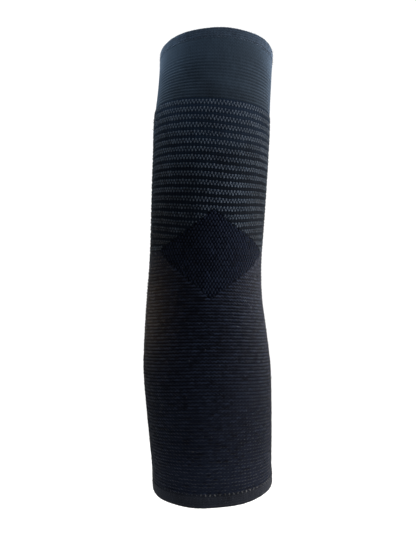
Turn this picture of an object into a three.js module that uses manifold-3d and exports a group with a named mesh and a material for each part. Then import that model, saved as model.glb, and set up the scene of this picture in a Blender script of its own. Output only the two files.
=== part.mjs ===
// A knitted elbow sleeve, in the shape it takes on a nearly straight arm.
// Units are millimetres. +Z runs up the arm and the diamond over the elbow faces -Y.
// The origin is the middle of the elbow, on the arm's own axis.
import * as THREE from "three";
import { mergeVertices } from "three/addons/utils/BufferGeometryUtils.js";
import Module from "manifold-3d";

const wasm = await Module();
wasm.setup();

// Where one knit ends and the next begins, as levels along the sleeve's sides
const TOP = 122;
const WELT_LINE = 116.5;
const CUFF_LINE = 85;
const ELBOW_LINE = 0;
const HEM_LINE = -134.5;
const BOTTOM = -141;

// Wall thickness of each knit
const CUFF_WALL = 1.6;
const RIBBED_WALL = 2.2;
const DIAMOND_WALL = 1.5;
const FOREARM_WALL = 1.7;
const TURNED_EDGE_WALL = 2.4;

// Coarse ribs of the upper panel
const RIB_COUNT = 20;
const RIB_RELIEF = 0.6;

// The diamond: angles round the arm from the front, and levels along it
const DIAMOND = {
  apexAngle: THREE.MathUtils.degToRad(6),
  leftAngle: THREE.MathUtils.degToRad(-50),
  rightAngle: THREE.MathUtils.degToRad(70),
  topLevel: 27.5,
  bottomLevel: -30,
};
const DIAMOND_RECESS = 0.3;
const DIAMOND_STEPS = 12;
const CUT_MARGIN = 8;

const GAP = 0.3;
const COLUMNS = 44;
const ROW_HEIGHT = 11;
const EDGE_ARC_STEPS = 4;

// The lathe's radius only carries each point's depth in the wall until the point is wrapped on to the sleeve.
const LATHE_RADIUS = 100;

// Outline of the sleeve, one row for each section across the arm, from the bottom up.
// sideRise lifts a section's right side and lowers its left.
const SECTIONS = [
  { height: -141, centreX: 3.9, centreY: -3.0, halfWidth: 36.5, halfDepth: 33.0, sideRise: 1.5 },
  { height: -128, centreX: 3.5, centreY: -2.4, halfWidth: 36.7, halfDepth: 33.3, sideRise: 1.0 },
  { height: -115, centreX: 2.9, centreY: -1.5, halfWidth: 37.5, halfDepth: 33.8, sideRise: 0.9 },
  { height: -90, centreX: 1.6, centreY: 0.8, halfWidth: 39.0, halfDepth: 34.4, sideRise: 0.7 },
  { height: -70, centreX: 0.6, centreY: 2.6, halfWidth: 39.7, halfDepth: 34.4, sideRise: 0.5 },
  { height: -48, centreX: -0.3, centreY: 4.4, halfWidth: 38.3, halfDepth: 33.4, sideRise: 0.2 },
  { height: -28, centreX: -1.0, centreY: 5.6, halfWidth: 36.6, halfDepth: 32.2, sideRise: 0.0 },
  { height: -8, centreX: -0.5, centreY: 6.0, halfWidth: 35.6, halfDepth: 31.5, sideRise: 0.0 },
  { height: 12, centreX: 0.6, centreY: 5.4, halfWidth: 35.8, halfDepth: 32.2, sideRise: -0.3 },
  { height: 35, centreX: 1.7, centreY: 4.0, halfWidth: 36.1, halfDepth: 33.4, sideRise: -0.8 },
  { height: 60, centreX: 2.9, centreY: 2.4, halfWidth: 36.2, halfDepth: 34.0, sideRise: -1.4 },
  { height: 82, centreX: 3.8, centreY: 1.2, halfWidth: 36.1, halfDepth: 33.8, sideRise: -1.8 },
  { height: 88, centreX: 4.3, centreY: 1.0, halfWidth: 35.4, halfDepth: 33.3, sideRise: -1.6 },
  { height: 105, centreX: 5.6, centreY: 0.4, halfWidth: 34.8, halfDepth: 33.0, sideRise: -0.8 },
  { height: 122, centreX: 6.5, centreY: 0.0, halfWidth: 34.8, halfDepth: 33.2, sideRise: 0.2 },
];

// How far the knitted courses run above or below their level at the sides when they cross the front
const COURSES = [
  { level: -141, frontRise: 1.0 },
  { level: -134.5, frontRise: 1.8 },
  { level: -122, frontRise: 4.0 },
  { level: -95, frontRise: 5.6 },
  { level: -70, frontRise: 4.6 },
  { level: -45, frontRise: 3.5 },
  { level: -20, frontRise: 3.0 },
  { level: 0, frontRise: 0.0 },
  { level: 12, frontRise: -4.6 },
  { level: 29, frontRise: -4.2 },
  { level: 48, frontRise: -2.8 },
  { level: 85, frontRise: -2.0 },
  { level: 108, frontRise: -0.8 },
  { level: 122, frontRise: -0.6 },
];

const sectionCurve = new THREE.CubicInterpolant(
  SECTIONS.map((section) => section.height),
  SECTIONS.flatMap((s) => [s.centreX, s.centreY, s.halfWidth, s.halfDepth, s.sideRise]),
  5,
);
const courseCurve = new THREE.CubicInterpolant(
  COURSES.map((course) => course.level),
  COURSES.map((course) => course.frontRise),
  1,
);

// A point of the wall: level along the sleeve, angle round it from the front, depth below the outer surface.
function sleevePoint(level, angle, depth) {
  const frontShare = Math.max(0, Math.cos(angle)) ** 2;
  const height = level + courseCurve.evaluate(level)[0] * frontShare;
  const [centreX, centreY, halfWidth, halfDepth, sideRise] = sectionCurve.evaluate(height);
  return new THREE.Vector3(
    centreX + (halfWidth - depth) * Math.sin(angle),
    centreY - (halfDepth - depth) * Math.cos(angle),
    height + sideRise * Math.sin(angle),
  );
}

// Moves every vertex of a geometry and joins those that meet, so that the result is one closed surface.
function remap(geometry, place) {
  const positions = geometry.getAttribute("position");
  const vertex = new THREE.Vector3();
  for (let i = 0; i < positions.count; i++) {
    const moved = place(vertex.fromBufferAttribute(positions, i));
    positions.setXYZ(i, moved.x, moved.y, moved.z);
  }
  geometry.deleteAttribute("normal");
  geometry.deleteAttribute("uv");
  return mergeVertices(geometry, 1e-4);
}

// A closed tube from a profile of {level, depth} points that runs up the outside and down the inside.
function tubeWall(profile) {
  const loop = [...profile, profile[0]];
  const points = loop.map(({ level, depth }) => new THREE.Vector2(LATHE_RADIUS - depth, level));
  return remap(new THREE.LatheGeometry(points, COLUMNS), ({ x, y, z }) =>
    sleevePoint(y, Math.atan2(x, z), LATHE_RADIUS - Math.hypot(x, z)),
  );
}

// Evenly spaced levels, both ends included
function levelsBetween(start, end, spacing) {
  const steps = Math.max(1, Math.round(Math.abs(end - start) / spacing));
  return Array.from({ length: steps + 1 }, (_, i) => start + ((end - start) * i) / steps);
}

// A plain band of wall between two levels
function plainProfile(bottom, top, wall) {
  const outside = levelsBetween(bottom, top, ROW_HEIGHT).map((level) => ({ level, depth: 0 }));
  const inside = levelsBetween(top, bottom, ROW_HEIGHT).map((level) => ({ level, depth: wall }));
  return [...outside, ...inside];
}

// A band whose free edge is turned over: the edge is a half circle across the wall.
function turnedProfile(seam, edge, wall) {
  const side = Math.sign(edge - seam);
  const radius = wall / 2;
  const fold = Array.from({ length: EDGE_ARC_STEPS + 1 }, (_, i) => {
    const turn = (Math.PI * i) / EDGE_ARC_STEPS;
    return {
      level: edge - side * radius * (1 - Math.sin(turn)),
      depth: radius * (1 - Math.cos(turn)),
    };
  });
  const loop = [{ level: seam, depth: 0 }, ...fold, { level: seam, depth: wall }];
  return side > 0 ? loop : loop.reverse();
}

// A band with rounded ribs across it: each rib has a crest between two valleys.
function ribbedProfile(bottom, top, wall) {
  const halfPitch = (top - bottom) / RIB_COUNT / 2;
  const outside = levelsBetween(bottom, top, halfPitch).map((level, i) => ({
    level,
    depth: i % 2 === 0 ? RIB_RELIEF : 0,
  }));
  const inside = levelsBetween(top, bottom, ROW_HEIGHT).map((level) => ({ level, depth: wall }));
  return [...outside, ...inside];
}

// The diamond as a block that follows the sleeve between two depths, grown by a margin on each side.
function diamondBlock(outerDepth, innerDepth, margin) {
  const radius = sectionCurve.evaluate(ELBOW_LINE)[3];
  const angleMargin = (margin / radius) * Math.SQRT2;
  const levelMargin = margin * Math.SQRT2;
  const corner = (angle, level) => new THREE.Vector2(angle, level);
  const bottom = corner(DIAMOND.apexAngle, DIAMOND.bottomLevel - levelMargin);
  const top = corner(DIAMOND.apexAngle, DIAMOND.topLevel + levelMargin);
  const left = corner(DIAMOND.leftAngle - angleMargin, ELBOW_LINE);
  const right = corner(DIAMOND.rightAngle + angleMargin, ELBOW_LINE);
  const box = new THREE.BoxGeometry(1, 1, 1, DIAMOND_STEPS, DIAMOND_STEPS, 1);
  return remap(box, ({ x, y, z }) => {
    const along = x + 0.5;
    const up = y + 0.5;
    const lowerEdge = bottom.clone().lerp(right, along);
    const upperEdge = left.clone().lerp(top, along);
    const { x: angle, y: level } = lowerEdge.lerp(upperEdge, up);
    return sleevePoint(level, angle, z > 0 ? outerDepth : innerDepth);
  });
}

function toSolid(geometry) {
  return new wasm.Manifold(
    new wasm.Mesh({
      numProp: 3,
      vertProperties: new Float32Array(geometry.getAttribute("position").array),
      triVerts: new Uint32Array(geometry.index.array),
    }),
  );
}

function toGeometry(solid) {
  const { vertProperties, triVerts } = solid.getMesh();
  return new THREE.BufferGeometry()
    .setAttribute("position", new THREE.BufferAttribute(vertProperties, 3))
    .setIndex(new THREE.BufferAttribute(triVerts, 1));
}

// A panel of wall with the diamond's opening cut through it
function notched(geometry) {
  const cutter = diamondBlock(-CUT_MARGIN, CUT_MARGIN, GAP);
  return toGeometry(toSolid(geometry).subtract(toSolid(cutter)));
}

function knit(name, geometry, colour, roughness) {
  geometry.computeVertexNormals();
  const yarn = new THREE.MeshStandardMaterial({ color: colour, roughness, metalness: 0 });
  const mesh = new THREE.Mesh(geometry, yarn);
  mesh.name = name;
  return mesh;
}

const halfGap = GAP / 2;
const sleeve = new THREE.Group();
sleeve.name = "elbow_sleeve";
sleeve.add(
  knit("top_welt", tubeWall(turnedProfile(WELT_LINE + halfGap, TOP, TURNED_EDGE_WALL)), 0x2a323c, 0.9),
  knit(
    "upper_cuff",
    tubeWall(plainProfile(CUFF_LINE + halfGap, WELT_LINE - halfGap, CUFF_WALL)),
    0x222a34,
    0.88,
  ),
  knit(
    "ribbed_panel",
    notched(tubeWall(ribbedProfile(ELBOW_LINE + halfGap, CUFF_LINE - halfGap, RIBBED_WALL))),
    0x2c3138,
    0.85,
  ),
  knit("elbow_diamond", diamondBlock(DIAMOND_RECESS, DIAMOND_RECESS + DIAMOND_WALL, 0), 0x12141c, 0.85),
  knit(
    "forearm_panel",
    notched(tubeWall(plainProfile(HEM_LINE + halfGap, ELBOW_LINE - halfGap, FOREARM_WALL))),
    0x1b1d24,
    0.9,
  ),
  knit("bottom_hem", tubeWall(turnedProfile(HEM_LINE - halfGap, BOTTOM, TURNED_EDGE_WALL)), 0x24272d, 0.92),
);

export default sleeve;
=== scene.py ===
"""A knitted elbow sleeve: its walls, the yarn that runs round them, the hem's stitches and stray fibres.

Lengths are in metres. +Z runs up the arm, the diamond over the elbow faces -Y,
and the origin is the elbow's middle.
"""
import math
from typing import NamedTuple

import bpy
import numpy as np
from bpy.props import FloatProperty, FloatVectorProperty, IntProperty, PointerProperty
from bpy.types import Operator, Panel, PropertyGroup
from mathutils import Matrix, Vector


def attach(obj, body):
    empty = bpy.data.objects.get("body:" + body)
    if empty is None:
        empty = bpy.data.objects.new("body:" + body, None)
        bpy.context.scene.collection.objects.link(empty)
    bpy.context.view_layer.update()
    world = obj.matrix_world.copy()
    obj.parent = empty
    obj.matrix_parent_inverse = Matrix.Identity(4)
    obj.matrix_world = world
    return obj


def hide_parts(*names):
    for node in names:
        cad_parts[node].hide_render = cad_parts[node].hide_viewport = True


bl_info = {
    "name": "Knitted Elbow Sleeve",
    "version": (1, 0, 0),
    "blender": (4, 5, 0),
    "location": "View3D > Sidebar > Sleeve",
    "description": "Knits an elbow sleeve, yarn by yarn, around its solid parts",
    "category": "Object",
}

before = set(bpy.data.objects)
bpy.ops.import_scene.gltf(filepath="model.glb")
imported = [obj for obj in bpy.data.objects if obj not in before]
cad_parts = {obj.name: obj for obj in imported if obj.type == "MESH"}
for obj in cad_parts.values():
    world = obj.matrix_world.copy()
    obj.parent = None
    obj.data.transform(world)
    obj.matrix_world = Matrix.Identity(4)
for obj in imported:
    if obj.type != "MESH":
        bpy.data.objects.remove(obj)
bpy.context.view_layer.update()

MM = 0.001
BODY = "root"

# Where one knit ends and the next begins, as levels along the sleeve's sides
TOP = 122 * MM
WELT_LINE = 116.5 * MM
CUFF_LINE = 85 * MM
ELBOW_LINE = 0.0
HEM_LINE = -134.5 * MM
BOTTOM = -141 * MM
SEAM_GAP = 0.05 * MM

# Wall thickness of each knit
CUFF_WALL = 1.6 * MM
RIBBED_WALL = 2.2 * MM
DIAMOND_WALL = 1.5 * MM
FOREARM_WALL = 1.7 * MM
TURNED_EDGE_WALL = 2.4 * MM


class Section(NamedTuple):
    """One cut across the arm, in millimetres. side_rise lifts its right side and lowers its left."""

    height: float
    centre_x: float
    centre_y: float
    half_width: float
    half_depth: float
    side_rise: float


SECTIONS = (
    Section(-141, 3.9, -3.0, 36.5, 33.0, 1.5),
    Section(-128, 3.5, -2.4, 36.7, 33.3, 1.0),
    Section(-115, 2.9, -1.5, 37.5, 33.8, 0.9),
    Section(-90, 1.6, 0.8, 39.0, 34.4, 0.7),
    Section(-70, 0.6, 2.6, 39.7, 34.4, 0.5),
    Section(-48, -0.3, 4.4, 38.3, 33.4, 0.2),
    Section(-28, -1.0, 5.6, 36.6, 32.2, 0.0),
    Section(-8, -0.5, 6.0, 35.6, 31.5, 0.0),
    Section(12, 0.6, 5.4, 35.8, 32.2, -0.3),
    Section(35, 1.7, 4.0, 36.1, 33.4, -0.8),
    Section(60, 2.9, 2.4, 36.2, 34.0, -1.4),
    Section(82, 3.8, 1.2, 36.1, 33.8, -1.8),
    Section(88, 4.3, 1.0, 35.4, 33.3, -1.6),
    Section(105, 5.6, 0.4, 34.8, 33.0, -0.8),
    Section(122, 6.5, 0.0, 34.8, 33.2, 0.2),
)


class Course(NamedTuple):
    """How far a knitted course rises, in millimetres, where it crosses the front."""

    level: float
    front_rise: float


COURSES = (
    Course(-141, 1.0),
    Course(-134.5, 1.8),
    Course(-122, 4.0),
    Course(-95, 5.6),
    Course(-70, 4.6),
    Course(-45, 3.5),
    Course(-20, 3.0),
    Course(0, 0.0),
    Course(12, -4.6),
    Course(29, -4.2),
    Course(48, -2.8),
    Course(85, -2.0),
    Course(108, -0.8),
    Course(122, -0.6),
)

# How far the wide ribs step down where they meet above the diamond
COURSE_STEP = 1.3 * MM

# The diamond: angles round the arm from the front, and levels along it
DIAMOND_APEX = math.radians(6)
DIAMOND_LEFT = math.radians(-50)
DIAMOND_RIGHT = math.radians(70)
DIAMOND_TOP = 27.5 * MM
DIAMOND_BOTTOM = -31 * MM


class SmoothTable:
    """A table in millimetres as a smooth curve. Each row's slope is the mean of the slopes beside it."""

    def __init__(self, rows):
        table = np.array(rows, float) * MM
        self.knots, self.values = table[:, 0], table[:, 1:]
        secants = np.diff(self.values, axis=0) / np.diff(self.knots)[:, None]
        self.slopes = np.vstack([secants[:1], (secants[1:] + secants[:-1]) / 2, secants[-1:]])

    def __call__(self, at):
        at = np.clip(at, self.knots[0], self.knots[-1])
        row = np.clip(np.searchsorted(self.knots, at, side="right") - 1, 0, len(self.knots) - 2)
        span = (self.knots[row + 1] - self.knots[row])[..., None]
        t = (at - self.knots[row])[..., None] / span
        start, end = self.values[row], self.values[row + 1]
        leave, arrive = self.slopes[row] * span, self.slopes[row + 1] * span
        return (
            start * (1 + 2 * t) * (1 - t) ** 2
            + leave * t * (1 - t) ** 2
            + end * t**2 * (3 - 2 * t)
            + arrive * t**2 * (t - 1)
        )


FORM = SmoothTable(SECTIONS)
FRONT_RISE = SmoothTable(COURSES)


def course_step(level, angle):
    """How far a course of the wide ribs is moved up or down at an angle round the arm."""
    step_width = math.radians(14)
    elbow_fade, cuff_fade = 18 * MM, 12 * MM
    turn = wrapped(angle - DIAMOND_APEX)
    share = np.tanh(turn / step_width) / 2 - turn / (2 * math.pi)
    fade = band(level, ELBOW_LINE, ELBOW_LINE + elbow_fade, CUFF_LINE - cuff_fade, CUFF_LINE)
    return -COURSE_STEP * share * fade


def sleeve_points(level, angle, lift):
    """Points on the sleeve: level along it, angle round it from the front, lift above its surface."""
    level, angle, lift = np.broadcast_arrays(level, angle, lift)
    level = level + course_step(level, angle)
    height = level + FRONT_RISE(level)[..., 0] * np.maximum(0, np.cos(angle)) ** 2
    centre_x, centre_y, half_width, half_depth, side_rise = np.moveaxis(FORM(height), -1, 0)
    return np.stack(
        [
            centre_x + (half_width + lift) * np.sin(angle),
            centre_y - (half_depth + lift) * np.cos(angle),
            height + side_rise * np.sin(angle),
        ],
        axis=-1,
    )


def half_width_at(level):
    """Half the sleeve's width at a level."""
    return FORM(np.array(level))[2]


def wall_sides(level, angle, outer_lift, inner_lift):
    """Points of a wall's outside and inside, rows by columns. Each lift is one value or one for each row."""
    return [
        sleeve_points(level[:, None], angle[None, :], np.broadcast_to(lift, level.shape)[:, None])
        for lift in (outer_lift, inner_lift)
    ]


def unit(vectors):
    """The vectors' directions, each of length 1."""
    return vectors / np.linalg.norm(vectors, axis=-1, keepdims=True)


def sleeve_frames(level, angle, lift):
    """Places on the sleeve with the directions along the course, up the wale and out of the surface."""
    up_step, turn = 0.2 * MM, 0.004
    place = sleeve_points(level, angle, lift)
    along = unit(sleeve_points(level, angle + turn, lift) - sleeve_points(level, angle - turn, lift))
    up = unit(sleeve_points(level + up_step, angle, lift) - sleeve_points(level - up_step, angle, lift))
    out = unit(np.cross(along, up))
    return place, along, np.cross(out, along), out


def wrapped(angle):
    """The same direction within half a turn of the front."""
    return (angle + math.pi) % (2 * math.pi) - math.pi


def smoothstep(low, high, value):
    """0 at low, 1 at high, level beyond them and smooth between. low may be the greater."""
    t = np.clip((value - low) / (high - low), 0, 1)
    return t * t * (3 - 2 * t)


def band(value, start, full, fading, end):
    """1 between full and fading, and smoothly down to 0 at start and end."""
    return smoothstep(start, full, value) * smoothstep(end, fading, value)


def wale_angles(count, offset=0.5):
    """Angles of the wales, from the back round to the back again."""
    return -math.pi + 2 * math.pi * (np.arange(count) + offset) / count


def even_courses(bottom, top, count):
    """Levels of the lines between a number of courses, evenly spaced where they cross the front."""
    samples = 1000
    level = np.linspace(bottom, top, samples)
    front = level + FRONT_RISE(level)[:, 0]
    return np.interp(np.linspace(front[0], front[-1], count + 1), front, level)


def middles(values):
    """Values halfway between neighbours."""
    return (values[:-1] + values[1:]) / 2


def diamond_share(level, angle):
    """0 in the diamond's middle, 1 on its edge and more outside."""
    turn = wrapped(angle - DIAMOND_APEX)
    reach = np.abs(turn) / np.where(turn < 0, DIAMOND_APEX - DIAMOND_LEFT, DIAMOND_RIGHT - DIAMOND_APEX)
    height = level / np.where(level > 0, DIAMOND_TOP, DIAMOND_BOTTOM)
    return reach + height


def in_diamond(level, angle):
    """Whether places lie inside the diamond."""
    return diamond_share(level, angle) < 1


def round_diamond(level, angle):
    """Whether places lie in the knits round the diamond."""
    return diamond_share(level, angle) >= 1


def elbow_light_and_shade(level, angle, middle, paler, darker):
    """Painted light and shade on a yarn round the elbow: paler just right of middle, in degrees, where the
    light from the right falls, and darker left of it in the elbow's shade.
    """
    near = band(level, -62 * MM, -34 * MM, 30 * MM, 66 * MM)
    turn = np.degrees(angle) - middle
    right = band(turn, -28, 20, 22, 52)
    left = band(turn, -90, -62, -34, 10)
    return near * (paler * right - darker * left)


class KnitSizes(PropertyGroup):
    """Counts and sizes of the stitches."""

    wale_count: IntProperty(name="Wales", description="Stitches round the sleeve", default=116, min=24)
    cuff_courses: IntProperty(name="Cuff courses", description="Fine ribs up the cuff", default=19, min=4)
    rib_count: IntProperty(name="Wide ribs", description="Wide ribs from elbow to cuff", default=20, min=4)
    forearm_courses: IntProperty(
        name="Forearm courses", description="Fine ribs from hem to elbow", default=70, min=8
    )
    diamond_courses: IntProperty(
        name="Diamond courses", description="Courses up the diamond, two rows of nubs each", default=16, min=4
    )
    cuff_relief: FloatProperty(
        name="Cuff relief", description="Depth between the cuff's ribs", default=0.32 * MM, unit="LENGTH"
    )
    rib_relief: FloatProperty(
        name="Wide rib relief", description="Depth between the wide ribs", default=0.26 * MM, unit="LENGTH"
    )
    forearm_relief: FloatProperty(
        name="Forearm relief", description="Depth between the fine ribs", default=0.36 * MM, unit="LENGTH"
    )
    hem_stitches: IntProperty(
        name="Hem stitches", description="Stitches of the hem's thread, two strokes each", default=44, min=6
    )
    fibre_count: IntProperty(
        name="Stray fibres", description="Fibres that stand off the turned edges", default=1600, min=0
    )
    lint_count: IntProperty(name="Lint", description="Pale specks caught in the knit", default=70, min=0)


def yarn_colour(name, description, default):
    """A colour property of a yarn."""
    return FloatVectorProperty(
        name=name, description=description, default=default, subtype="COLOR", size=3, min=0, max=1
    )


class YarnColours(PropertyGroup):
    """Colours of the yarns, deep in the knit and on the loops."""

    welt: yarn_colour("Welt", "Yarn of the turned top edge", (0.0180, 0.0268, 0.0410))
    hem: yarn_colour("Hem", "Yarn of the turned bottom edge", (0.0118, 0.0138, 0.0200))
    cuff: yarn_colour("Cuff", "Yarn of the fine-ribbed cuff", (0.0140, 0.0220, 0.0335))
    rib_wall: yarn_colour("Wide rib, deep", "Yarn between the wide ribs", (0.0050, 0.0100, 0.0200))
    rib_loop: yarn_colour("Wide rib, loops", "Loops on the wide ribs", (0.0262, 0.0338, 0.0460))
    diamond_wall: yarn_colour("Diamond, deep", "Yarn between the diamond's nubs", (0.0005, 0.0011, 0.0036))
    diamond_loop: yarn_colour("Diamond, nubs", "Nubs of the diamond", (0.0039, 0.0057, 0.0116))
    forearm_wall: yarn_colour("Forearm, deep", "Yarn between the fine ribs", (0.0014, 0.0021, 0.0056))
    forearm_loop: yarn_colour("Forearm, loops", "Loops on the fine ribs", (0.0057, 0.0087, 0.0210))
    forearm_worn: yarn_colour("Forearm, worn", "Palest of the fine ribs' loops", (0.0095, 0.0135, 0.0262))
    thread: yarn_colour("Hem thread", "Thread of the hem's stitches", (0.0820, 0.0860, 0.0960))
    lint: yarn_colour("Lint", "Stray fibres and specks", (0.0600, 0.0620, 0.0690))
    sheen: yarn_colour("Sheen", "Tint of the yarn's sheen", (0.95, 0.96, 1.0))
    cuff_sheen: yarn_colour("Cuff sheen", "Tint of the sheen on the cuff and welt", (0.64, 0.78, 1.0))


class StageSettings(PropertyGroup):
    """The camera, the floor and the light."""

    camera_distance: FloatProperty(
        name="Camera distance",
        description="From the lens to the elbow's middle",
        default=0.260,
        unit="LENGTH",
    )
    camera_right: FloatProperty(
        name="Camera to the right", description="Of the elbow's middle", default=1.25 * MM, unit="LENGTH"
    )
    camera_height: FloatProperty(
        name="Camera height", description="Above the elbow's middle", default=-15.3 * MM, unit="LENGTH"
    )
    focal_share: FloatProperty(
        name="Focal length", description="As a share of the picture's long side", default=417 / 555
    )
    floor_drop: FloatProperty(
        name="Floor", description="How far the floor lies below the hem", default=0.16, unit="LENGTH"
    )
    ambient: FloatProperty(name="Ambient", description="Strength of the light from all round", default=0.115)
    light_scale: FloatProperty(name="Lights", description="Strength of all the softboxes", default=1.0)


class Shade:
    """A shader socket in a Python expression. Each operation adds a Math node to its tree."""

    def __init__(self, nodes, socket):
        self.nodes = nodes
        self.socket = socket

    def __add__(self, other):
        return self.nodes.math("ADD", self, other)

    def __sub__(self, other):
        return self.nodes.math("SUBTRACT", self, other)

    def __mul__(self, other):
        return self.nodes.math("MULTIPLY", self, other)

    def __radd__(self, other):
        return self.nodes.math("ADD", other, self)

    def __rsub__(self, other):
        return self.nodes.math("SUBTRACT", other, self)

    def __rmul__(self, other):
        return self.nodes.math("MULTIPLY", other, self)


class Nodes:
    """A node tree that is written node by node."""

    def __init__(self, tree):
        self.tree = tree
        self.tree.nodes.clear()

    def node(self, kind, settings=None, sockets=None, output=0):
        """Adds a node of a kind: its settings first, then the value or link of each socket."""
        made = self.tree.nodes.new(kind)
        for setting, value in (settings or {}).items():
            setattr(made, setting, value)
        for socket, value in (sockets or {}).items():
            if isinstance(value, Shade):
                self.tree.links.new(value.socket, made.inputs[socket])
            else:
                made.inputs[socket].default_value = value
        if not made.outputs:
            return None
        return Shade(self, made.outputs[output])

    def math(self, operation, *operands):
        """A Math node on its operands in order."""
        return self.node("ShaderNodeMath", {"operation": operation}, dict(enumerate(operands)))

    def noise(self, place, scale, detail=2.0):
        """Noise between 0 and 1, with 0.5 as its middle."""
        sockets = {"Vector": place, "Scale": scale, "Detail": detail}
        return self.node("ShaderNodeTexNoise", sockets=sockets, output="Fac")

    def attribute(self, name):
        """A value that the mesh holds for each point."""
        return self.node("ShaderNodeAttribute", {"attribute_name": name}, output="Fac")

    def mix_colours(self, share, first, second):
        """first where share is 0, second where it is 1, and on past it where it is more."""
        factor, a, b, result = 0, 6, 7, 2
        settings = {"data_type": "RGBA", "clamp_factor": False}
        sockets = {factor: share, a: (*first, 1), b: (*second, 1)}
        return self.node("ShaderNodeMix", settings, sockets, output=result)


class YarnLook(NamedTuple):
    """What sets one yarn's finish apart: its two colours, its sheen and how strongly each mark shows."""

    deep: tuple
    pale: tuple
    sheen: float
    sheen_tint: tuple
    bump: float = 0.4
    roughness: float = 0.82
    blotch: float = 0.9
    speck: float = 0.5
    strands: float = 0.0


def yarn_finish(name, look):
    """A matt yarn: blotches, fibre specks, slanting strands, a tone for each stitch and a constant sheen."""
    material = bpy.data.materials.new(name)
    material.use_nodes = True
    nodes = Nodes(material.node_tree)
    place = nodes.node("ShaderNodeTexCoord", output="Object")
    blotch = nodes.noise(place, scale=70.0, detail=3.0)
    fibre = nodes.noise(place, scale=2600.0)
    height = fibre
    tone_gain, bump_depth = 0.28, 0.12 * MM
    share = 0.5 + look.blotch * (blotch - 0.5) + look.speck * (fibre - 0.5)
    # The tone attribute holds each stitch's own tone together with the painted light and shade.
    share = share + tone_gain * nodes.attribute("tone")
    if look.strands:
        stitches = nodes.node("ShaderNodeUVMap", {"uv_map": "stitches"})
        wale = nodes.node("ShaderNodeSeparateXYZ", sockets={"Vector": stitches}, output="X")
        course = nodes.node("ShaderNodeSeparateXYZ", sockets={"Vector": stitches}, output="Y")
        slant = nodes.math("ABSOLUTE", nodes.math("FRACT", wale) - 0.5)
        strand = nodes.math("SINE", 2 * math.pi * (course + slant))
        upright = {"Vector": stitches, "Scale": (3.0, 0.35, 1.0)}
        stroke = nodes.noise(nodes.node("ShaderNodeMapping", sockets=upright), scale=1.0, detail=3.0)
        strand_tone, stroke_tone, strand_height = 0.12, 0.8, 0.9
        share = share + look.strands * (strand_tone * strand + stroke_tone * (stroke - 0.5))
        height = height + look.strands * (strand_height * strand + stroke)
    colour = nodes.mix_colours(nodes.math("MAXIMUM", share, 0.0), look.deep, look.pale)
    relief = {"Height": height, "Strength": look.bump, "Distance": bump_depth}
    bump = nodes.node("ShaderNodeBump", sockets=relief)
    surface = nodes.node(
        "ShaderNodeBsdfPrincipled",
        sockets={
            "Base Color": colour,
            "Roughness": look.roughness + 0.2 * (fibre - 0.5),
            "Normal": bump,
            "Specular IOR Level": 0.04,
            "Sheen Weight": look.sheen,
            "Sheen Roughness": 0.35,
            "Sheen Tint": (*look.sheen_tint, 1),
        },
    )
    nodes.node("ShaderNodeOutputMaterial", sockets={"Surface": surface})
    return material


def shaded(colour, share):
    """A colour with each channel at a share of its own value."""
    return tuple(channel * share for channel in colour)


def plain_look(colour, deep, pale, sheen):
    """A yarn between a deep and a pale share of its colour."""
    tint = tuple(bpy.context.scene.sleeve_colours.sheen)
    return YarnLook(shaded(colour, deep), shaded(colour, pale), sheen, tint)


def cuff_look(colour, deep, pale, sheen):
    """A plain yarn with the cuff's bluish sheen."""
    tint = tuple(bpy.context.scene.sleeve_colours.cuff_sheen)
    return plain_look(colour, deep, pale, sheen)._replace(sheen_tint=tint, bump=0.15, speck=0.25)


def make_piece(name, vertices, faces, finish, uv=None, tone=None):
    """A mesh object on the sleeve's one body, with stitch coordinates and tones where they are given."""
    mesh = bpy.data.meshes.new(name)
    mesh.from_pydata(vertices.tolist(), [], faces)
    mesh.materials.append(finish)
    mesh.shade_smooth()
    if uv is not None:
        layer = mesh.uv_layers.new(name="stitches")
        layer.data.foreach_set("uv", uv.astype(np.float32).ravel())
    tones = mesh.attributes.new("tone", "FLOAT", "POINT")
    if tone is not None:
        tones.data.foreach_set("value", tone.astype(np.float32))
    if mesh.validate():
        raise RuntimeError(f"{name} has faces that are not valid")
    piece = bpy.data.objects.new(name, mesh)
    bpy.context.scene.collection.objects.link(piece)
    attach(piece, BODY)
    return piece


def wall_piece(name, outer, inner, course, tone, finish, keep=None, around=True):
    """A closed wall between two grids of points, rows by columns, without the cells that keep leaves out.

    course gives the number of the course along each row, and tone the yarn's tone by row and column.
    """
    sharpest_smooth = math.radians(55)
    rows, columns = outer.shape[:2]
    index = np.arange(rows * columns).reshape(rows, columns)
    across = np.arange(columns, dtype=float)
    if around:
        index = np.concatenate([index, index[:, :1]], axis=1)
        across = np.arange(columns + 1, dtype=float)
    stitch = np.stack(np.meshgrid(across, course), axis=-1)
    if keep is None:
        keep = np.ones((index.shape[0] - 1, index.shape[1] - 1), bool)

    def corners(grid):
        return np.stack([grid[:-1, :-1], grid[:-1, 1:], grid[1:, 1:], grid[1:, :-1]], axis=2)[keep]

    cells, cell_uv = corners(index), corners(stitch)
    edges = np.concatenate([cells[:, [k, (k + 1) % 4]] for k in range(4)])
    edge_uv = np.concatenate([cell_uv[:, [k, (k + 1) % 4]] for k in range(4)])
    total = rows * columns
    free = ~np.isin(edges[:, 0] * total + edges[:, 1], edges[:, 1] * total + edges[:, 0])
    start, end = edges[free, 0], edges[free, 1]
    rim = np.stack([end, start, start + total, end + total], axis=1)
    rim_uv = edge_uv[free][:, [1, 0, 0, 1]]
    faces = np.concatenate([cells, cells[:, ::-1] + total, rim])
    uv = np.concatenate([cell_uv, cell_uv[:, ::-1], rim_uv])
    points = np.concatenate([outer.reshape(-1, 3), inner.reshape(-1, 3)])
    used, faces = np.unique(faces, return_inverse=True)
    faces = faces.reshape(-1, 4)
    tones = np.concatenate([np.broadcast_to(tone, (rows, columns)).ravel(), np.zeros(total)])
    piece = make_piece(name, points[used], faces.tolist(), finish, uv=uv, tone=tones[used])
    piece.data.set_sharp_from_angle(angle=sharpest_smooth)
    return piece


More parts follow.
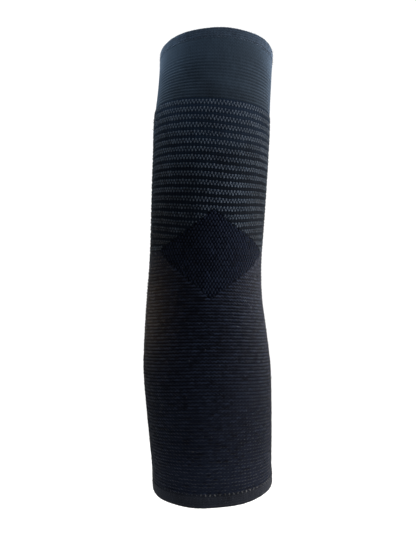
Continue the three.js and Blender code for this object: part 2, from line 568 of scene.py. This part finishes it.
class Yarn(NamedTuple):
    """How a yarn runs through its stitches.

    It goes up and down by rise, with its climbing strokes stagger above and its falling strokes
    stagger below, both as shares of its course. It swings sideways by curl of a stitch. It dives
    from the strokes that show to the turns between them, which are darker by shade. offset moves it
    along by a share of a stitch, and alternate does so on every other course. swell thickens the
    strokes that show. steps and sides are those of the mesh, for each stitch.
    """

    rise: float
    stagger: float
    curl: float
    dive: float
    lift: float
    half_wide: float
    half_high: float
    swell: float = 0.15
    shade: float = 0.5
    offset: float = 0.0
    alternate: float = 0.0
    unevenness: float = 1.0
    steps: int = 6
    sides: int = 4


class Spread:
    """How far the stitches of a yarn with an unevenness of 1 differ from each other.

    along is a share of a stitch, wave and thickness are shares of their own size, level and lift are
    lengths, and tone is the yarn's tone.
    """

    along = 0.04
    wave = 0.10
    level = 0.06 * MM
    lift = 0.03 * MM
    thickness = 0.08
    tone = 0.5


def yarn_piece(name, rng, yarn, edges, wales, finish, within=None, sink=0.0, tone=0.0):
    """Courses of yarn round the sleeve in one mesh.

    edges are the levels of the lines between the courses, and within says at a level and angle
    whether the yarn is there. sink and tone are given by course and stitch.
    """
    shape = len(edges) - 1, wales
    along = np.arange(wales * yarn.steps) / yarn.steps
    stitch = along.astype(int)
    blend = smoothstep(0, 1, along - stitch)

    def carried(values):
        values = np.broadcast_to(values, shape)
        return values[:, stitch] * (1 - blend) + values[:, (stitch + 1) % wales] * blend

    def uneven(width):
        return carried(rng.normal(0, width * yarn.unevenness, shape))

    phase = 2 * math.pi * along
    shows = -np.cos(2 * phase)
    shift = yarn.offset + yarn.alternate * (np.arange(shape[0])[:, None] % 2)
    swing = along + shift + yarn.curl * np.sin(2 * phase) / (2 * math.pi) + uneven(Spread.along)
    angle = -math.pi + 2 * math.pi * swing / wales
    wave = np.diff(edges)[:, None] * (yarn.rise * np.cos(phase) - yarn.stagger * np.sin(phase))
    level = middles(edges)[:, None] + wave * (1 + uneven(Spread.wave)) + uneven(Spread.level)
    lift = yarn.lift + yarn.dive * shows - carried(sink) + uneven(Spread.lift)
    place, _, _, out = sleeve_frames(level, angle, lift)
    heading = unit(np.roll(place, -1, axis=1) - np.roll(place, 1, axis=1))
    side = unit(np.cross(out, heading))
    over = np.cross(heading, side)
    thick = ((1 + yarn.swell * shows) * (1 + uneven(Spread.thickness)))[..., None, None]
    turn = (math.pi / 2 + (np.arange(yarn.sides) + 0.5) * 2 * math.pi / yarn.sides)[:, None]
    sideways = yarn.half_wide * np.cos(turn) * side[:, :, None]
    outward = yarn.half_high * np.sin(turn) * over[:, :, None]
    points = place[:, :, None] + thick * (sideways + outward)

    index = np.arange(points.size // 3).reshape(points.shape[:3])
    ahead = np.roll(index, -1, axis=1)
    shown = within(level, angle) if within else np.ones(level.shape, bool)
    kept = shown & np.roll(shown, -1, axis=1)
    beside = np.roll(index, -1, axis=2)
    beside_ahead = np.roll(ahead, -1, axis=2)
    tube = np.stack([index, beside, beside_ahead, ahead], axis=-1)[kept]
    starts = index[kept & ~np.roll(kept, 1, axis=1)][:, ::-1]
    ends = ahead[kept & ~np.roll(kept, -1, axis=1)]
    used = np.unique(tube)
    faces = np.searchsorted(used, tube.reshape(-1, 4)).tolist()
    faces += np.searchsorted(used, np.concatenate([starts, ends])).tolist()
    tones = np.repeat(carried(tone) + uneven(Spread.tone) + yarn.shade * shows, yarn.sides)
    return make_piece(name, points.reshape(-1, 3)[used], faces, finish, tone=tones[used])


def ribbed_rows(edges, profile):
    """Courses, levels and lifts of a ribbed wall's rows.

    profile lists the rows of one rib, each as a share of the rib's pitch and a lift.
    """
    count = len(edges) - 1
    shares, lifts = np.array(profile).T
    course = np.append(np.arange(count)[:, None] + shares, count)
    level = np.interp(course, np.arange(count + 1), edges)
    return course, level, np.append(np.tile(lifts, count), lifts[0])


def groove_shade_tones(lift, groove):
    """Painted shade and light on a ribbed wall's rows: dark in the grooves where shade falls, and pale on the
    crests.
    """
    deepest, palest = -1.5, 1.5
    return palest + (deepest - palest) * lift / groove


def turned_rows(seam, edge, wall, arc_steps=10, side_steps=6):
    """Levels and lifts round a turned edge's section: up the outside, over the fold and down the inside."""
    side = math.copysign(1, edge - seam)
    radius = wall / 2
    turn = np.linspace(0, math.pi, arc_steps + 1)
    fold_level = edge - side * radius * (1 - np.sin(turn))
    fold_lift = -radius * (1 - np.cos(turn))
    straight = np.linspace(seam, edge - side * radius, side_steps, endpoint=False)
    level = np.concatenate([straight, fold_level, straight[::-1]])
    lift = np.concatenate([np.zeros(side_steps), fold_lift, np.full(side_steps, -wall)])
    return (level, lift) if side > 0 else (level[::-1], lift[::-1])


def turned_edge(name, seam, edge, finish, rng, knit):
    """A band turned double at its free edge, with the wales showing as soft upright strokes."""
    level, lift = turned_rows(seam, edge, TURNED_EDGE_WALL)
    per_wale, course_pitch = 2, 1.2 * MM
    ripple_depth, uneven_depth, wander_depth = 0.06 * MM, 0.05 * MM, 0.25 * MM
    columns = knit.wale_count * per_wale
    angle = wale_angles(columns, 0.0)
    ripple = ripple_depth * np.cos(angle * knit.wale_count)
    wale_lifts = rng.normal(0, 1, knit.wale_count)
    uneven = uneven_depth * np.interp(angle, wale_angles(knit.wale_count), wale_lifts)
    wander = wander_depth * np.sin(angle * 5 + 0.7) * np.cos(angle * 3)
    free = np.abs(level - seam) / abs(edge - seam)
    outward = np.where(lift > -TURNED_EDGE_WALL / 2, 1, -1)
    lifts = lift[:, None] + outward[:, None] * (ripple + uneven)[None, :]
    levels = level[:, None] + (free**2)[:, None] * wander[None, :]
    points = sleeve_points(levels, angle[None, :], lifts)
    index = np.arange(points.shape[0] * columns).reshape(points.shape[0], columns)
    ahead, above = np.roll(index, -1, axis=1), np.roll(index, -1, axis=0)
    faces = np.stack([index, ahead, np.roll(ahead, -1, axis=0), above], axis=-1).reshape(-1, 4)
    step = np.hypot(np.diff(level), np.diff(lift))
    course = np.concatenate([[0], np.cumsum(step)]) / course_pitch
    across, rise = np.meshgrid(np.arange(columns) / per_wale, course)
    further, above_rise = across + 1 / per_wale, np.roll(rise, -1, axis=0)
    uv = np.stack([across, rise, further, rise, further, above_rise, across, above_rise], axis=-1)
    return make_piece(name, points.reshape(-1, 3), faces.tolist(), finish, uv=uv)


class SleeveOperator:
    """What the sleeve's operators share."""

    bl_options = {"REGISTER", "UNDO"}

    @classmethod
    def poll(cls, context):
        return context.scene is not None


class SLEEVE_OT_upper_cuff(SleeveOperator, Operator):
    """Knit the fine-ribbed cuff and the welt turned over at its top"""

    bl_idname = "sleeve.upper_cuff"
    bl_label = "Upper Cuff"

    def execute(self, context):
        knit, colours = context.scene.sleeve_knit, context.scene.sleeve_colours
        rng = np.random.default_rng(seed=11)
        bottom, top = CUFF_LINE + SEAM_GAP, WELT_LINE - SEAM_GAP
        wall = self.fine_ribs(knit, colours, bottom, top)
        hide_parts("upper_cuff")

        edge_look = cuff_look(colours.welt, deep=0.5, pale=1.8, sheen=0.4)
        edge_finish = yarn_finish("welt_yarn", edge_look._replace(speck=0.8, strands=2.2))
        welt = turned_edge("top_welt_edge", WELT_LINE + SEAM_GAP, TOP, edge_finish, rng, knit)
        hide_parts("top_welt")
        chain = self.seam_chain(knit, rng, edge_finish)
        width = 2 * math.pi * half_width_at(top)
        area = width * (top - bottom)
        return {"FINISHED"}

    def fine_ribs(self, knit, colours, bottom, top):
        """The cuff's wall. Its ribs fade out below the welt, and its foot dips into the wide ribs' seam."""
        groove = -knit.cuff_relief
        profile = ((0.0, groove), (0.25, groove / 2), (0.5, 0.0), (0.75, groove / 2))
        course, level, lift = ribbed_rows(np.linspace(bottom, top, knit.cuff_courses + 1), profile)
        angle = wale_angles(knit.wale_count, 0.0)
        rib_contrast, dip_depth, dip_height = 0.65, 0.2 * MM, 4 * MM
        lined = smoothstep(WELT_LINE - 2.5 * MM, WELT_LINE - 15 * MM, level)
        # The lines are painted shade in the grooves and painted light on the crests, strongest on the right
        # where the light rakes.
        lines = (rib_contrast * lined * groove_shade_tones(lift, groove))[:, None] * self.raked(angle)
        # The tone adds the painted light from above and the painted shade at the cuff's foot.
        tone = lines + self.painted_light_and_shade(level)[:, None]
        lift = lift * lined - dip_depth * smoothstep(bottom + dip_height, bottom, level)
        outer, inner = wall_sides(level, angle, lift, -CUFF_WALL)
        look = cuff_look(colours.cuff, deep=0.4, pale=1.6, sheen=0.36)._replace(strands=0.9)
        finish = yarn_finish("cuff_yarn", look)
        return wall_piece("cuff_wall", outer, inner, course, tone, finish)

    def painted_light_and_shade(self, level):
        """Painted light and shade up the cuff: paler at its top where the light from above falls, with a
        painted shade where it joins the wide ribs.
        """
        share = (level - CUFF_LINE) / (WELT_LINE - CUFF_LINE)
        return 1.4 * (share - 0.5) - 0.3 * smoothstep(0.28, 0.18, share)

    def raked(self, angle):
        """How strongly the painted shade in the ribs' grooves shows: faint in front, strong on the right
        where the light rakes across.
        """
        return 0.75 + 0.9 * smoothstep(math.radians(12), math.radians(50), angle)

    def seam_chain(self, knit, rng, finish):
        """The zigzag of yarn that closes the welt along its seam."""
        half_height = 0.5 * MM
        zigzag = Yarn(
            rise=0.3, stagger=0, curl=0.2, dive=0.03 * MM, lift=-0.11 * MM,
            half_wide=0.5 * MM, half_high=0.16 * MM, shade=0.0,
        )
        seam = np.array([WELT_LINE - half_height, WELT_LINE + half_height])
        return yarn_piece(
            "welt_chain", rng, zigzag, seam, knit.wale_count, finish, tone=0.2
        )


class SLEEVE_OT_ribbed_panel(SleeveOperator, Operator):
    """Knit the wide ribs of the upper arm, each with two staggered rows of pale loops"""

    bl_idname = "sleeve.ribbed_panel"
    bl_label = "Ribbed Panel"

    def execute(self, context):
        knit, colours = context.scene.sleeve_knit, context.scene.sleeve_colours
        bottom, top = ELBOW_LINE + SEAM_GAP, CUFF_LINE - SEAM_GAP
        edges = np.linspace(bottom, top, knit.rib_count + 1)
        wall = self.deep_wall(knit, colours, edges)
        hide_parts("ribbed_panel")
        ribs = self.loop_yarns(knit, colours, edges)
        width = 2 * math.pi * half_width_at(CUFF_LINE / 2)
        return {"FINISHED"}

    def deep_wall(self, knit, colours, edges):
        """The wall behind the loops, sunk to make room for them, with a notch for the diamond."""
        groove = -knit.rib_relief
        bed = 1.4 * groove
        profile = ((0.0, groove), (0.12, groove), (0.24, bed), (0.76, bed), (0.88, groove))
        course, level, lift = ribbed_rows(edges, profile)
        angle = wale_angles(knit.wale_count, 0.0)
        outer, inner = wall_sides(level, angle, lift, -RIBBED_WALL)
        keep = round_diamond(middles(level)[:, None], wale_angles(knit.wale_count)[None, :])
        look = plain_look(colours.rib_wall, deep=0.3, pale=1.6, sheen=0.02)._replace(strands=0.5)
        finish = yarn_finish("rib_deep_yarn", look)
        # The wall's tone carries the painted light from above, darker towards the elbow.
        tone = (1.4 * self.painted_light_and_shade(level) - 1.2)[:, None]
        stitch_rows = 3 * course
        return wall_piece(
            "ribbed_wall", outer, inner, stitch_rows, tone, finish, keep
        )

    def loop_yarns(self, knit, colours, edges):
        """The pale yarn, and the dark yarn half a stitch further that fills in between its loops."""
        rng = np.random.default_rng(seed=23)
        pale_yarn = Yarn(
            rise=0.17, stagger=0.205, curl=0.38, dive=0.25 * MM, lift=-0.59 * MM,
            half_wide=0.45 * MM, half_high=0.42 * MM, swell=0.2, shade=1.7, alternate=0.5, steps=10,
        )
        dark_yarn = pale_yarn._replace(offset=0.5, lift=-0.68 * MM, shade=0.5, steps=8, sides=3)
        pale_look = plain_look(colours.rib_loop, deep=0.15, pale=1.5, sheen=0.10)
        dark_look = plain_look(colours.rib_wall, deep=0.4, pale=1.2, sheen=0.03)
        level, angle = middles(edges)[:, None], wale_angles(knit.wale_count, 0.0)
        # Painted light and shade: paler towards the cuff and right of the elbow, darker at the elbow and to
        # its left.
        tone = self.painted_light_and_shade(level) + elbow_light_and_shade(level, angle, middle=1, paler=2.0, darker=0.8)
        tone = tone + self.ending(level)
        ribs = []
        for name, yarn, look in (
            ("rib_pale_yarn", pale_yarn, pale_look),
            ("rib_dark_yarn", dark_yarn, dark_look),
        ):
            finish = yarn_finish(name, look)
            ribs.append(
                yarn_piece(
                    name, rng, yarn, edges, knit.wale_count, finish, round_diamond,
                    tone=tone,
                )
            )
        return ribs

    def painted_light_and_shade(self, level):
        """Painted light and shade up the wide ribs: darker towards the elbow and paler towards the cuff,
        where the light from above falls.
        """
        return 3.4 * (level / CUFF_LINE - 0.66)

    def ending(self, level):
        """How much paler the lowest ribs are, where they end beside the diamond."""
        return 1.5 * smoothstep(9 * MM, 2 * MM, level)


class SLEEVE_OT_elbow_diamond(SleeveOperator, Operator):
    """Knit the dark diamond over the elbow, with staggered nubs"""

    bl_idname = "sleeve.elbow_diamond"
    bl_label = "Elbow Diamond"

    def execute(self, context):
        knit, colours = context.scene.sleeve_knit, context.scene.sleeve_colours
        wall = self.sunken_wall(knit, colours)
        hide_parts("elbow_diamond")
        nubs = self.nub_yarn(knit, colours)
        across = (DIAMOND_RIGHT - DIAMOND_LEFT) * half_width_at(ELBOW_LINE)
        tall = DIAMOND_TOP - DIAMOND_BOTTOM
        across * tall / 2
        return {"FINISHED"}

    def sunken_wall(self, knit, colours):
        """The wall behind the nubs. It reaches a little past the diamond, under the knits round it."""
        pitch = (DIAMOND_TOP - DIAMOND_BOTTOM) / knit.diamond_courses
        wall_share, margin_courses, rows_per_course = 1.16, 2, 2
        margin_angle, outer_lift = 0.25, -0.62 * MM
        end = knit.diamond_courses + margin_courses
        rows = (end + margin_courses) * rows_per_course + 1
        course = np.linspace(-margin_courses, end, rows)
        level = DIAMOND_BOTTOM + course * pitch
        angle = wale_angles(knit.wale_count, 0.0)
        angle = angle[(angle > DIAMOND_LEFT - margin_angle) & (angle < DIAMOND_RIGHT + margin_angle)]
        outer, inner = wall_sides(level, angle, outer_lift, outer_lift - DIAMOND_WALL)
        keep = diamond_share(middles(level)[:, None], middles(angle)[None, :]) < wall_share
        look = plain_look(colours.diamond_wall, deep=0.6, pale=1.4, sheen=0.01)._replace(strands=0.5)
        finish = yarn_finish("diamond_deep_yarn", look)
        stitch_rows, tone = 2 * course, 0.0
        return wall_piece(
            "diamond_wall", outer, inner, stitch_rows, tone, finish, keep, around=False
        )

    def nub_yarn(self, knit, colours):
        """The yarn whose loops are the nubs, in two staggered rows for each course."""
        rng = np.random.default_rng(seed=37)
        edges = even_courses(DIAMOND_BOTTOM, DIAMOND_TOP, knit.diamond_courses)
        yarn = Yarn(
            rise=0.27, stagger=0.32, curl=0.38, dive=0.2 * MM, lift=-0.68 * MM,
            half_wide=0.46 * MM, half_high=0.44 * MM, swell=0.2, shade=1.9, steps=10, sides=6,
        )
        look = plain_look(colours.diamond_loop, deep=0.12, pale=1.8, sheen=0.02)
        finish = yarn_finish("diamond_nub_yarn", look)
        level, angle = middles(edges)[:, None], wale_angles(knit.wale_count, 0.0)
        # Painted light on the nubs right of the elbow's middle, and painted shade left of it.
        tone = elbow_light_and_shade(level, angle, middle=9, paler=0.9, darker=0.9)
        return yarn_piece(
            "diamond_yarn", rng, yarn, edges, knit.wale_count, finish, in_diamond, tone=tone
        )


class SLEEVE_OT_forearm_panel(SleeveOperator, Operator):
    """Knit the fine-ribbed forearm and the stitched hem turned up at its bottom"""

    bl_idname = "sleeve.forearm_panel"
    bl_label = "Forearm Panel"

    def execute(self, context):
        knit, colours = context.scene.sleeve_knit, context.scene.sleeve_colours
        rng = np.random.default_rng(seed=41)
        bottom, top = HEM_LINE + SEAM_GAP, ELBOW_LINE - SEAM_GAP
        edges = even_courses(bottom, top, knit.forearm_courses)
        wall = self.deep_wall(knit, colours, edges)
        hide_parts("forearm_panel")
        ribs = self.rib_yarns(knit, colours, edges, rng)

        edge_look = plain_look(colours.hem, deep=0.4, pale=1.8, sheen=0.10)
        edge_finish = yarn_finish("hem_yarn", edge_look._replace(speck=0.8, strands=1.2))
        hem = turned_edge("bottom_hem_edge", HEM_LINE - SEAM_GAP, BOTTOM, edge_finish, rng, knit)
        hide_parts("bottom_hem")
        width = 2 * math.pi * half_width_at(HEM_LINE / 2)
        area = width * (top - bottom)
        return {"FINISHED"}

    def deep_wall(self, knit, colours, edges):
        """The wall behind the ribs' yarn. Its grooves are faint where the knit is flat or brushed up."""
        groove = -knit.forearm_relief
        profile = ((0.0, groove), (0.28, groove / 2), (0.72, groove / 2))
        course, level, lift = ribbed_rows(edges, profile)
        flat, brushed = self.flattened(level), self.brushed(level)
        # rib_contrast scales the painted shade in the grooves and the painted light on the crests.
        rib_contrast = 0.7 * (1 - 0.6 * flat) * (1 - 0.7 * brushed)
        evenly = 0.95 * flat + 0.2 * brushed - 0.6 * self.begun(level) - 0.75
        tone = (rib_contrast * groove_shade_tones(lift, groove) + evenly)[:, None]
        lift = lift * (1 - 0.3 * flat - 0.2 * brushed)
        angle = wale_angles(knit.wale_count, 0.0)
        outer, inner = wall_sides(level, angle, lift, -FOREARM_WALL)
        keep = round_diamond(middles(level)[:, None], wale_angles(knit.wale_count)[None, :])
        look = self.worn_look(colours, colours.forearm_wall, deep=0.3)._replace(blotch=0.3, strands=0.5)
        finish = yarn_finish("forearm_deep_yarn", look)
        return wall_piece("forearm_wall", outer, inner, course, tone, finish, keep)

    def rib_yarns(self, knit, colours, edges, rng):
        """One yarn for each fine rib, in two pieces of half the ribs each."""
        yarn = Yarn(
            rise=0.12, stagger=0, curl=0, dive=-0.015 * MM, lift=-0.31 * MM,
            half_wide=0.52 * MM, half_high=0.60 * MM, swell=-0.03, shade=-0.3,
            unevenness=1.6, steps=7, sides=3,
        )
        look = self.worn_look(colours, colours.forearm_loop, deep=0.25)._replace(blotch=0.35)
        finish = yarn_finish("forearm_loop_yarn", look)
        sunk_depth = 0.03 * MM
        angle = wale_angles(knit.wale_count, 0.0)
        half = knit.forearm_courses // 2
        halves = {"forearm_yarn_lower": edges[: half + 1], "forearm_yarn_upper": edges[half:]}
        ribs = []
        for name, lines in halves.items():
            level = middles(lines)[:, None]
            flat, brushed = self.flattened(level), self.brushed(level)
            tone = 0.7 * brushed - 0.55 * flat - 0.4 * self.begun(level) + self.edged(level, angle)
            # Painted light right of the elbow and painted shade left of it, on top of the loops' own tones.
            tone = tone + elbow_light_and_shade(level, angle, middle=14, paler=0.6, darker=1.0)
            ribs.append(
                yarn_piece(
                    name, rng, yarn, lines, knit.wale_count, finish, round_diamond,
                    sink=sunk_depth * (flat + brushed), tone=tone,
                )
            )
        return ribs

    def worn_look(self, colours, colour, deep):
        """A yarn between a deep share of its colour and the palest of the fine ribs' loops."""
        return plain_look(colour, deep, pale=1.0, sheen=0.08)._replace(pale=tuple(colours.forearm_worn))

    def begun(self, level):
        """1 where the fine ribs begin at the elbow, 0 where they stand out in full."""
        return smoothstep(-20 * MM, -5 * MM, level)

    def flattened(self, level):
        """How far the ribs are stretched flat: fully at the hem and where they begin at the elbow."""
        return smoothstep(-55 * MM, -122 * MM, level) + self.begun(level)

    def brushed(self, level):
        """How far the knit is brushed up, which hides its ribs: fully at the hem and partly at the elbow."""
        return smoothstep(-108 * MM, -130 * MM, level) + 0.6 * self.begun(level)

    def edged(self, level, angle):
        """How much paler the loops are that join the diamond's lower edges."""
        beside = smoothstep(1.12, 1.06, diamond_share(level, angle))
        below = smoothstep(-2 * MM, -18 * MM, level)
        return 1.4 * beside * below


class SLEEVE_OT_hem_stitches(SleeveOperator, Operator):
    """Sew the hem with a row of pale stitches"""

    bl_idname = "sleeve.hem_stitches"
    bl_label = "Hem Stitches"

    def execute(self, context):
        knit, colours = context.scene.sleeve_knit, context.scene.sleeve_colours
        rng = np.random.default_rng(seed=53)
        thread = Yarn(
            rise=0.5, stagger=0, curl=0.42, dive=0.5 * MM, lift=-0.32 * MM,
            half_wide=0.26 * MM, half_high=0.26 * MM, unevenness=1.5, steps=12, sides=5,
        )
        below_seam, above_seam, buried_depth = 0.4 * MM, 0.6 * MM, 0.45 * MM
        seam = np.array([HEM_LINE - below_seam, HEM_LINE + above_seam])
        buried = smoothstep(0, math.radians(-18), wale_angles(knit.hem_stitches))[None, :]
        finish = yarn_finish("hem_thread", plain_look(colours.thread, deep=0.25, pale=1.5, sheen=0.1))
        yarn_piece(
            "hem_thread", rng, thread, seam, knit.hem_stitches, finish,
            sink=buried_depth * buried, tone=-buried,
        )
        return {"FINISHED"}


class SLEEVE_OT_stray_fibres(SleeveOperator, Operator):
    """Let fibres stand off the turned edges and catch a little lint in the knit"""

    bl_idname = "sleeve.stray_fibres"
    bl_label = "Stray Fibres"

    def execute(self, context):
        knit, colours = context.scene.sleeve_knit, context.scene.sleeve_colours
        rng = np.random.default_rng(seed=67)
        self.edge_fibres(knit.fibre_count // 2, colours, rng)
        self.lint_specks(knit.lint_count, colours, rng)
        return {"FINISHED"}

    def edge_fibres(self, each, colours, rng):
        """Fine fibres off the welt and the hem, the same number on each."""
        past_seam, short_of_edge = 1 * MM, 0.6 * MM
        root_lift, thickness = -0.05 * MM, 0.06 * MM
        level = np.concatenate(
            [
                rng.uniform(WELT_LINE - past_seam, TOP - short_of_edge, each),
                rng.uniform(BOTTOM + short_of_edge, HEM_LINE + past_seam, each),
            ]
        )
        turn = rng.uniform(-math.pi, math.pi, 2 * each)
        length = rng.uniform(0.6, 1.8, 2 * each) * MM
        finish = yarn_finish("fibre", plain_look(colours.hem, deep=1.0, pale=3.0, sheen=0.2))
        self.strands("edge_fibres", rng, (level, turn, root_lift), length, thickness, finish)

    def lint_specks(self, scattered, colours, rng):
        """Pale specks scattered over the knit, and more of them in one worn patch at the upper left."""
        patch, patch_level, patch_angle = 40, 77 * MM, math.radians(-64)
        level_spread, angle_spread = 3.5 * MM, math.radians(5)
        root_lift, thickness = 0.2 * MM, 0.3 * MM
        count = scattered + patch
        level = rng.uniform(HEM_LINE, CUFF_LINE, count)
        turn = rng.uniform(-math.pi, math.pi, count)
        level[:patch] = rng.normal(patch_level, level_spread, patch)
        turn[:patch] = rng.normal(patch_angle, angle_spread, patch)
        length = rng.uniform(0.4, 1.1, count) * MM
        finish = yarn_finish("lint", plain_look(colours.lint, deep=0.5, pale=1.5, sheen=0.2))
        self.strands("lint_specks", rng, (level, turn, root_lift), length, thickness, finish)

    def strands(self, name, rng, places, length, thickness, finish):
        """Thin three-sided fibres that leave the surface and bend over towards one end."""
        joints, sides, bend, taper = 4, 3, 2.4, 0.85
        place, along, up, out = sleeve_frames(*places)
        count = len(place)
        heading = rng.uniform(0, 2 * math.pi, count)[:, None]
        side = along * np.cos(heading) + up * np.sin(heading)
        rise = rng.uniform(0.25, 0.75, count)[:, None]
        t = np.linspace(0, 1, joints)
        ahead = t[None, :, None] * side[:, None]
        above = rise[:, None] * np.sin(t * bend)[None, :, None] * out[:, None]
        spine = place[:, None] + length[:, None, None] * (ahead + above)
        radius = thickness / 2 * (1 - taper * t)
        turns = np.arange(sides) * 2 * math.pi / sides
        ring = np.cross(side, out)[:, None, None] * np.cos(turns)[None, None, :, None]
        ring = ring + out[:, None, None] * np.sin(turns)[None, None, :, None]
        points = spine[:, :, None] + ring * radius[None, :, None, None]
        index = np.arange(joints * sides).reshape(joints, sides)
        beside = np.roll(index, -1, axis=1)
        skin = np.stack([index[:-1], index[1:], beside[1:], beside[:-1]], axis=-1).reshape(-1, 4)
        ends = np.array([index[0], index[-1][::-1]])
        shift = np.arange(count)[:, None, None] * joints * sides
        faces = (skin + shift).reshape(-1, 4).tolist() + (ends + shift).reshape(-1, sides).tolist()
        tone = np.repeat(np.clip(rng.normal(0, 0.7, count), -1.5, 1.5), joints * sides)
        return make_piece(name, points.reshape(-1, 3), faces, finish, tone=tone)


class Softbox(NamedTuple):
    """One square area light, aimed at a height on the sleeve."""

    name: str
    place: tuple
    aim: float
    size: float
    power: float
    colour: tuple


SOFTBOXES = (
    Softbox("right_softbox", (0.75, -0.09, 0.12), 0.0, 0.7, 11.7, (1.0, 0.92, 0.83)),
    Softbox("right_reflector", (0.078, -0.003, -0.022), -0.022, 0.04, 0.094, (1.0, 0.93, 0.85)),
    Softbox("cuff_left_softbox", (-0.085, -0.018, 0.155), 0.115, 0.05, 0.10, (0.72, 0.89, 1.0)),
    Softbox("cuff_right_softbox", (0.086, 0.010, 0.165), 0.115, 0.04, 0.048, (0.62, 0.80, 1.0)),
    Softbox("left_softbox", (-0.50, 0.45, 0.15), 0.0, 0.5, 0.5, (0.62, 0.83, 1.0)),
    Softbox("left_reflector", (-0.056, -0.012, -0.035), -0.035, 0.03, 0.018, (1.0, 0.69, 0.36)),
    Softbox("top_softbox", (0.08, -0.30, 0.42), 0.07, 0.3, 1.5, (0.80, 0.91, 1.0)),
)


class SLEEVE_OT_stage(SleeveOperator, Operator):
    """Set the camera, the white floor and the soft studio light"""

    bl_idname = "sleeve.stage"
    bl_label = "Stage"

    def execute(self, context):
        scene, stage = context.scene, context.scene.sleeve_stage
        camera = bpy.data.objects.new("camera", bpy.data.cameras.new("camera"))
        camera.data.lens = stage.focal_share * camera.data.sensor_width
        camera.data.clip_start = 0.01
        camera.location = (stage.camera_right, -stage.camera_distance, stage.camera_height)
        camera.rotation_euler = (math.pi / 2, 0, 0)
        scene.collection.objects.link(camera)
        scene.camera = camera
        scene.view_settings.view_transform = "Standard"
        self.floor(scene, BOTTOM - stage.floor_drop)
        self.sky(scene, stage.ambient)
        for box in SOFTBOXES:
            self.light(scene, box, stage.light_scale)
        return {"FINISHED"}

    def light(self, scene, box, scale):
        """One softbox, which the camera doesn't see."""
        light = bpy.data.lights.new(box.name, "AREA")
        light.size = box.size
        light.energy = box.power * scale
        light.color = box.colour
        lamp = bpy.data.objects.new(box.name, light)
        lamp.location = box.place
        heading = Vector((0, 0, box.aim)) - Vector(box.place)
        lamp.rotation_euler = heading.to_track_quat("-Z", "Y").to_euler()
        lamp.visible_camera = False
        scene.collection.objects.link(lamp)

    def floor(self, scene, height):
        """A round white floor, bright enough to run into the white behind it."""
        radius, sides = 0.5, 96
        turn = np.arange(sides) * 2 * math.pi / sides
        rim = np.stack([radius * np.cos(turn), radius * np.sin(turn), np.full(sides, height)], axis=1)
        mesh = bpy.data.meshes.new("floor")
        mesh.from_pydata(rim.tolist(), [], [list(range(sides))])
        material = bpy.data.materials.new("floor_white")
        material.use_nodes = True
        nodes = Nodes(material.node_tree)
        grain = nodes.noise(nodes.node("ShaderNodeTexCoord", output="Object"), scale=30.0)
        surface = nodes.node(
            "ShaderNodeBsdfPrincipled",
            sockets={
                "Base Color": (0.9, 0.9, 0.9, 1),
                "Roughness": 0.75 + 0.1 * grain,
                "Emission Color": (1, 1, 1, 1),
                "Emission Strength": 0.8,
            },
        )
        nodes.node("ShaderNodeOutputMaterial", sockets={"Surface": surface})
        mesh.materials.append(material)
        floor = bpy.data.objects.new("floor", mesh)
        scene.collection.objects.link(floor)

    def sky(self, scene, ambient):
        """White behind the sleeve, and a weaker light from all round it."""
        scene.world = bpy.data.worlds.new("studio")
        scene.world.use_nodes = True
        nodes = Nodes(scene.world.node_tree)
        white = 1.05
        seen = nodes.node("ShaderNodeLightPath", output="Is Camera Ray")
        strength = ambient + (white - ambient) * seen
        light = nodes.node("ShaderNodeBackground", sockets={"Color": (1, 1, 1, 1), "Strength": strength})
        nodes.node("ShaderNodeOutputWorld", sockets={"Surface": light})


class SLEEVE_PT_panel(Panel):
    """Lists the sleeve's pieces and their sizes"""

    bl_idname = "SLEEVE_PT_panel"
    bl_label = "Knitted Elbow Sleeve"
    bl_space_type = "VIEW_3D"
    bl_region_type = "UI"
    bl_category = "Sleeve"

    def draw(self, context):
        for operator in OPERATORS:
            self.layout.operator(operator.bl_idname)
        for group in (context.scene.sleeve_knit, context.scene.sleeve_colours, context.scene.sleeve_stage):
            box = self.layout.box()
            for name in group.__annotations__:
                box.prop(group, name)


GROUPS = {"sleeve_knit": KnitSizes, "sleeve_colours": YarnColours, "sleeve_stage": StageSettings}
OPERATORS = (
    SLEEVE_OT_upper_cuff,
    SLEEVE_OT_ribbed_panel,
    SLEEVE_OT_elbow_diamond,
    SLEEVE_OT_forearm_panel,
    SLEEVE_OT_hem_stitches,
    SLEEVE_OT_stray_fibres,
    SLEEVE_OT_stage,
)


def register():
    for group in GROUPS.values():
        bpy.utils.register_class(group)
    for operator in OPERATORS:
        bpy.utils.register_class(operator)
    bpy.utils.register_class(SLEEVE_PT_panel)
    for name, group in GROUPS.items():
        setattr(bpy.types.Scene, name, PointerProperty(type=group))


def unregister():
    for name in GROUPS:
        delattr(bpy.types.Scene, name)
    bpy.utils.unregister_class(SLEEVE_PT_panel)
    for operator in reversed(OPERATORS):
        bpy.utils.unregister_class(operator)
    for group in reversed(GROUPS.values()):
        bpy.utils.unregister_class(group)


def main():
    register()
    bpy.ops.sleeve.upper_cuff()
    bpy.ops.sleeve.ribbed_panel()
    bpy.ops.sleeve.elbow_diamond()
    bpy.ops.sleeve.forearm_panel()
    bpy.ops.sleeve.hem_stitches()
    bpy.ops.sleeve.stray_fibres()
    bpy.ops.sleeve.stage()


if __name__ == "__main__":
    main()
